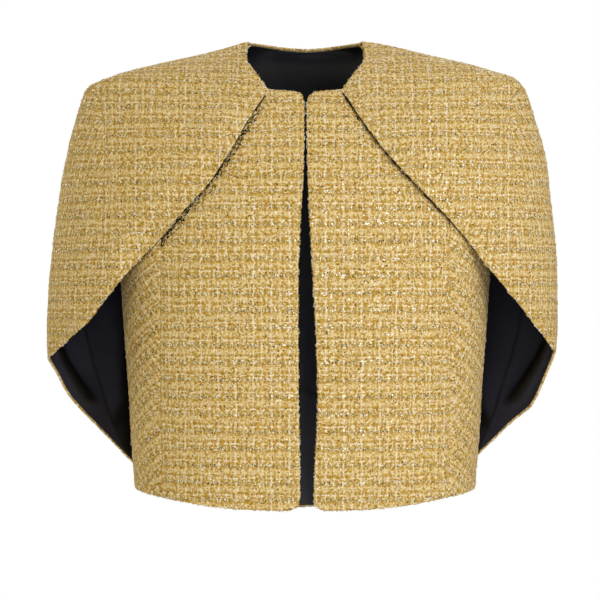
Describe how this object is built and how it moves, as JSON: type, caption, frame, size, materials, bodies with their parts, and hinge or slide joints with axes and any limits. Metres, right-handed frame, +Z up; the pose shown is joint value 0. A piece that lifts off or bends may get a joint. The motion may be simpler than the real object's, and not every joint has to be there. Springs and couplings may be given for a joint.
{
  "type": "cropped cape jacket",
  "caption": "Cropped collarless tweed cape jacket in its worn, hollow form, with slanting cape fronts over an open-edged jacket and a black satin lining.",
  "frame": {"origin": "on the shoulder line, in the middle of the body, where the wearer's shoulders hold it up", "axes": "+X along the shoulders to the viewer's right, +Y from the front to the back, +Z up"},
  "size_m": [0.5615, 0.253, 0.5223],
  "materials": {
    "tweed": "loose boucle tweed of gold, cream and grey yarns with a metallic thread",
    "satin_lining": "smooth black satin",
    "fastening_metal": "small silver wire"
  },
  "bodies": {
    "root": {"back_panel": "tweed", "back_lining": "satin_lining", "cape_front_left": "tweed", "cape_front_right": "tweed", "cape_side_left": "tweed", "cape_side_right": "tweed", "side_lining_left": "satin_lining", "side_lining_right": "satin_lining", "centre_front_left": "tweed", "centre_front_right": "tweed", "side_front_left": "tweed", "side_front_right": "tweed", "neck_hook": "fastening_metal", "neck_eye": "fastening_metal"}
  },
  "joints": []
}
